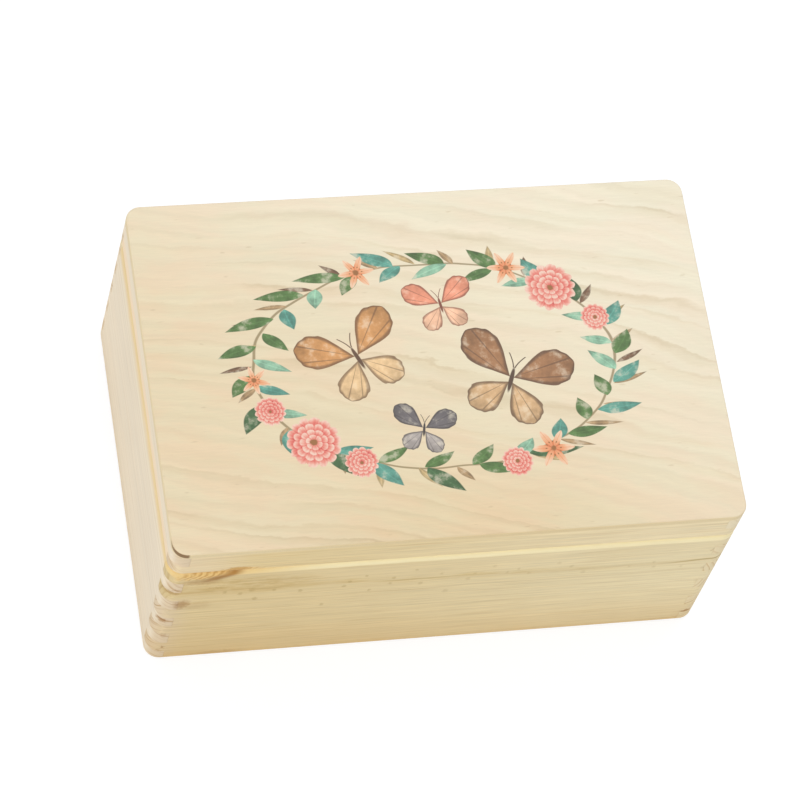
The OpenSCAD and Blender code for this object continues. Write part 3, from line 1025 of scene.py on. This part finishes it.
def lid_panel():
    """Plywood lid with its decoration, painted sheen towards the back right, painted shade over the
    front, a small scorched mark on its front left corner and painted shade of the gap along its left
    edge.
    """
    g = Finish("plywood lid panel", Specular_IOR_Level=WOOD_GLOSS)
    x, y, z = g.split(g.at)
    # Paler and whiter towards the back right, partly the veneer's tone and partly painted sheen.
    back = g.rise(g.times_add(x, 0.66, y), -112.0, 156.0)
    pale = g.mix(back, rgb(236, 221, 186), rgb(246, 238, 213))
    tint = g.mix(back, rgb(239, 216, 181), rgb(249, 236, 212))
    dark = rgb(212, 187, 144)
    figure = g.rise(g.times_add(x, -0.3, y), 60.0, 110.0, 1.0, 0.4)
    color, height = plywood(g, PANEL_UNDERSIDE, TOP, pale, tint, dark, droop=0.00028, figure=figure)
    # Painted shade over the front of the lid's top.
    front = spot(g, g.at, (10.0, -108.0, TOP), (130.0, 70.0, 9.0))
    color = g.mix(g.times(front, 0.5), color, LID_FRONT_SHADE, "MULTIPLY")
    color = decoration(g, color)
    deep = g.times_add(g.rise(y, -88.0, -99.0), 3.2, g.minus(z, TOP))
    scorch_and_gap_shade = g.times(g.rise(deep, -0.4, 0.4), g.fall(x, -142.4, -141.0))
    up = g.split(g.facing)[2]
    # Along the left edge the scorched mark runs on as painted shade of the gap between panel and rail.
    fade = g.times_add(g.rise(y, -10.0, -80.0), 0.3, g.times(g.rise(y, -88.0, -97.0), 0.7))
    scorch_and_gap_shade = g.times(scorch_and_gap_shade, g.times(g.fall(up, 0.55, 0.9), fade))
    color = g.mix(g.times(scorch_and_gap_shade, 0.92), color, SCORCH_AND_GAP_SHADE, "MULTIPLY")
    g.wear(color, g.times_add(height, 0.08, 0.46), height, LID_RELIEF)
    return g.material


def bottom_panel():
    """Plain plywood with a bolder figure than the lid's."""
    g = Finish("plywood bottom panel", Specular_IOR_Level=WOOD_GLOSS)
    low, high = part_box("bottom_panel")
    shades = rgb(236, 218, 182), rgb(238, 215, 180), rgb(204, 176, 132)
    figure = {"spacing": 12.0, "wander": 46.0, "start": (60, 35, 0)}
    color, height = plywood(g, low.z / MM, high.z / MM, *shades, **figure)
    g.wear(color, g.times_add(height, 0.10, 0.50), height, BOTTOM_RELIEF)
    return g.material


# ---- Metal ----


def worn_metal():
    """Handled plating: broad clouds, fine scratches and small marks, in millimetres."""
    g = Effect("worn metal", vectors=("Grain",))
    cloud = g.noise(g.at, scale=0.35, detail=3.0)
    scratch = g.noise(g.stretch(g.at, g.given["Grain"]), detail=3.0, roughness=0.7)
    mark = g.rise(g.noise(g.at, scale=1.7), 0.66, 0.78)
    g.give(Cloud=cloud, Scratch=scratch, Mark=mark)
    return g


METAL = worn_metal()


def metal(name, bright, dull, grain, rough, tarnish):
    """Plated or drawn metal. Grain is how close its scratches lie along X, Y and Z."""
    g = Finish(name, Metallic=1.0)
    wear = g.use(METAL, Grain=grain)
    color = g.mix(g.times(g.rise(wear["Cloud"], 0.35, 0.7), tarnish), bright, dull)
    color = g.mix(g.times(wear["Mark"], tarnish), color, g.shade(dull, 0.7))
    roughness = g.times_add(wear["Scratch"], 0.22, rough)
    roughness = g.times_add(wear["Mark"], 0.2, roughness)
    g.wear(color, roughness, wear["Scratch"], METAL_RELIEF)
    return g.material


# ---- Pieces ----


def only(piece):
    """Selects one object and nothing else."""
    bpy.ops.object.select_all(action="DESELECT")
    piece.select_set(True)
    bpy.context.view_layer.objects.active = piece


def eased(node, width, material):
    """Copy of a CAD node with its hard edges rounded a little, which stands for the node."""
    piece = bpy.data.objects.new(node + "_finished", frame["nodes"][node].data.copy())
    bpy.context.scene.collection.objects.link(piece)
    only(piece)
    bpy.ops.mesh.customdata_custom_splitnormals_clear()
    bpy.ops.object.mode_set(mode="EDIT")
    bpy.ops.mesh.select_all(action="SELECT")
    bpy.ops.mesh.remove_doubles(threshold=MERGE_DISTANCE)
    bpy.ops.mesh.dissolve_limited(angle_limit=FLAT_ANGLE)
    bpy.ops.object.mode_set(mode="OBJECT")
    bevel = piece.modifiers.new("ease", "BEVEL")
    bevel.width = width
    bevel.segments = EASE_SEGMENTS
    bevel.limit_method = "ANGLE"
    bevel.angle_limit = HARD_ANGLE
    bevel.use_clamp_overlap = False
    bpy.ops.object.modifier_apply(modifier=bevel.name)
    bpy.ops.object.shade_smooth_by_angle(angle=SMOOTH_ANGLE)
    weighted = piece.modifiers.new("even", "WEIGHTED_NORMAL")
    weighted.keep_sharp = True
    bpy.ops.object.modifier_apply(modifier=weighted.name)
    piece.data.materials.clear()
    piece.data.materials.append(material)
    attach(piece, BODY[node])
    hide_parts(node)


BODY = {
    node: body for body, nodes in frame["record"]["behaviour"]["bodies"].items() for node in nodes
}
SLOT = {part["node"]: part["material_slot"] for part in frame["record"]["subparts"]}

WOOD = {
    # The front board's and front rail's colours are darker and yellower than the other boards', partly
    # painted shade on that side.
    "front_board": front_wood(
        "pine front board", (-40.0, 96.0), 2.6, rgb(228, 205, 154), rgb(237, 221, 179), True
    ),
    "back_board": plain_board("pine back board", "x", (60.0, 20.0)),
    "left_board": left_side(
        "pine left board", (-128.0, 106.0), 4.2, 14.0, 0.42, WARM_SEAM_HIGHLIGHT, 96.0, 103.0, 0.2
    ),
    "right_board": plain_board(
        "pine right board", "y", (118.0, 58.0), end_color=rgb(238, 221, 182), contrast=0.5
    ),
    "lid_front_rail": front_wood(
        "pine lid front rail", (-46.0, 60.0), 2.4, rgb(230, 207, 154), rgb(240, 223, 183), False
    ),
    "lid_back_rail": plain_board("pine lid back rail", "x", (55.0, 150.0), base=0.0),
    "lid_left_rail": left_side(
        "pine lid left rail", (-118.0, 80.0), 3.6, 12.0, 0.14, PEACH_SEAM_HIGHLIGHT, 120.0, 112.0, 0.0
    ),
    "lid_right_rail": plain_board(
        "pine lid right rail", "y", (110.0, 96.0), base=0.0, end_color=PALE, contrast=0.14
    ),
    "lid_panel": lid_panel(),
    "bottom_panel": bottom_panel(),
}
METAL_SLOTS = {
    "hinge_brass": metal(
        "satin brass", rgb(226, 190, 116), rgb(186, 148, 82), (0.12, 5.0, 0.6), 0.24, 0.6
    ),
    "screw_brass": metal(
        "worn screw brass", rgb(218, 184, 118), rgb(160, 128, 78), (1.5, 1.5, 1.5), 0.26, 0.9
    ),
    "pin_steel": metal(
        "drawn steel", rgb(206, 204, 198), rgb(170, 168, 164), (0.08, 6.0, 6.0), 0.22, 0.4
    ),
}

for node, material in WOOD.items():
    eased(node, WOOD_EASE, material)
for node, slot in SLOT.items():
    if slot in METAL_SLOTS:
        eased(node, METAL_EASE, METAL_SLOTS[slot])


# ---- Studio ----

WHITE = (1.0, 1.0, 1.0)
WORLD_LIGHT = 0.61
FLOOR_SIZE = 12.0
FLOOR_PAINT = (0.86, 0.86, 0.86)
# The floor as the camera sees it: a grey that takes shadows, lifted to white by a glow.
FLOOR_SHADE = (0.33, 0.34, 0.36)
FLOOR_LIFT = 0.76
# Name, place and size in metres, and power in watts, of each lamp.
LAMPS = (
    ("key lamp", (0.7, 1.2, 2.2), 1.4, 16.0),
    ("side lamp", (-2.4, -0.9, 0.9), 1.2, 11.0),
    ("front lamp", (-0.4, -1.9, 1.7), 1.2, 10.5),
)


def studio_floor():
    """Pale floor that a camera or a reflection sees as white, with the soft shadow of the box on it."""
    bpy.ops.object.select_all(action="DESELECT")
    bpy.ops.mesh.primitive_plane_add(size=FLOOR_SIZE, location=(0, 0, 0))
    floor = bpy.context.object
    floor.name = "studio_floor"
    material = bpy.data.materials.new("studio floor")
    material.use_nodes = True
    g = Graph(material.node_tree)
    g.tree.nodes.remove(g.tree.nodes["Principled BSDF"])
    paint = g.node("ShaderNodeBsdfDiffuse", {"Color": FLOOR_PAINT})
    shade = g.node("ShaderNodeBsdfDiffuse", {"Color": FLOOR_SHADE})
    lift = g.node("ShaderNodeEmission", {"Color": WHITE, "Strength": FLOOR_LIFT})
    seen = g.node("ShaderNodeAddShader", {0: shade.outputs[0], 1: lift.outputs[0]})
    choose(g, "Material Output", paint, seen)
    floor.data.materials.append(material)


def seen_directly(g):
    """1 for what the camera, a reflection or a view through glass sees."""
    path = g.node("ShaderNodeLightPath", {}).outputs
    return g.most(path["Is Camera Ray"], g.most(path["Is Glossy Ray"], path["Is Transmission Ray"]))


def choose(g, output, lit, seen):
    """Lights the scene with one shader and shows the other where it is seen directly."""
    inputs = {0: seen_directly(g), 1: lit.outputs[0], 2: seen.outputs[0]}
    choice = g.node("ShaderNodeMixShader", inputs)
    g.feed(g.tree.nodes[output].inputs["Surface"], choice.outputs[0])


def studio_world():
    """Soft even light, with white behind the box."""
    world = bpy.data.worlds.new("studio")
    bpy.context.scene.world = world
    world.use_nodes = True
    g = Graph(world.node_tree)
    soft = g.tree.nodes["Background"]
    g.feed(soft.inputs["Color"], WHITE)
    g.feed(soft.inputs["Strength"], WORLD_LIGHT)
    white = g.node("ShaderNodeBackground", {"Color": WHITE, "Strength": 1.0})
    choose(g, "World Output", soft, white)


def soft_lamp(name, at, size, power):
    """Square lamp that looks at the middle of the box."""
    lamp = bpy.data.lights.new(name, "AREA")
    lamp.size = size
    lamp.energy = power
    holder = bpy.data.objects.new(name, lamp)
    bpy.context.scene.collection.objects.link(holder)
    holder.location = at
    aim = -holder.location
    holder.rotation_euler = aim.to_track_quat("-Z", "Y").to_euler()


def camera():
    """Camera at the photograph's place, turn and focal length."""
    lens = bpy.data.cameras.new("photo camera")
    lens.lens = CAMERA_LENS
    lens.sensor_width = SENSOR
    lens.clip_start = CLIP_START
    lens.clip_end = CLIP_END
    holder = bpy.data.objects.new("photo camera", lens)
    bpy.context.scene.collection.objects.link(holder)
    holder.location = CAMERA_AT
    holder.rotation_euler = tuple(math.radians(angle) for angle in CAMERA_TURN)
    bpy.context.scene.camera = holder


studio_floor()
studio_world()
for lamp in LAMPS:
    soft_lamp(*lamp)
camera()

bpy.context.scene.view_settings.view_transform = "Standard"
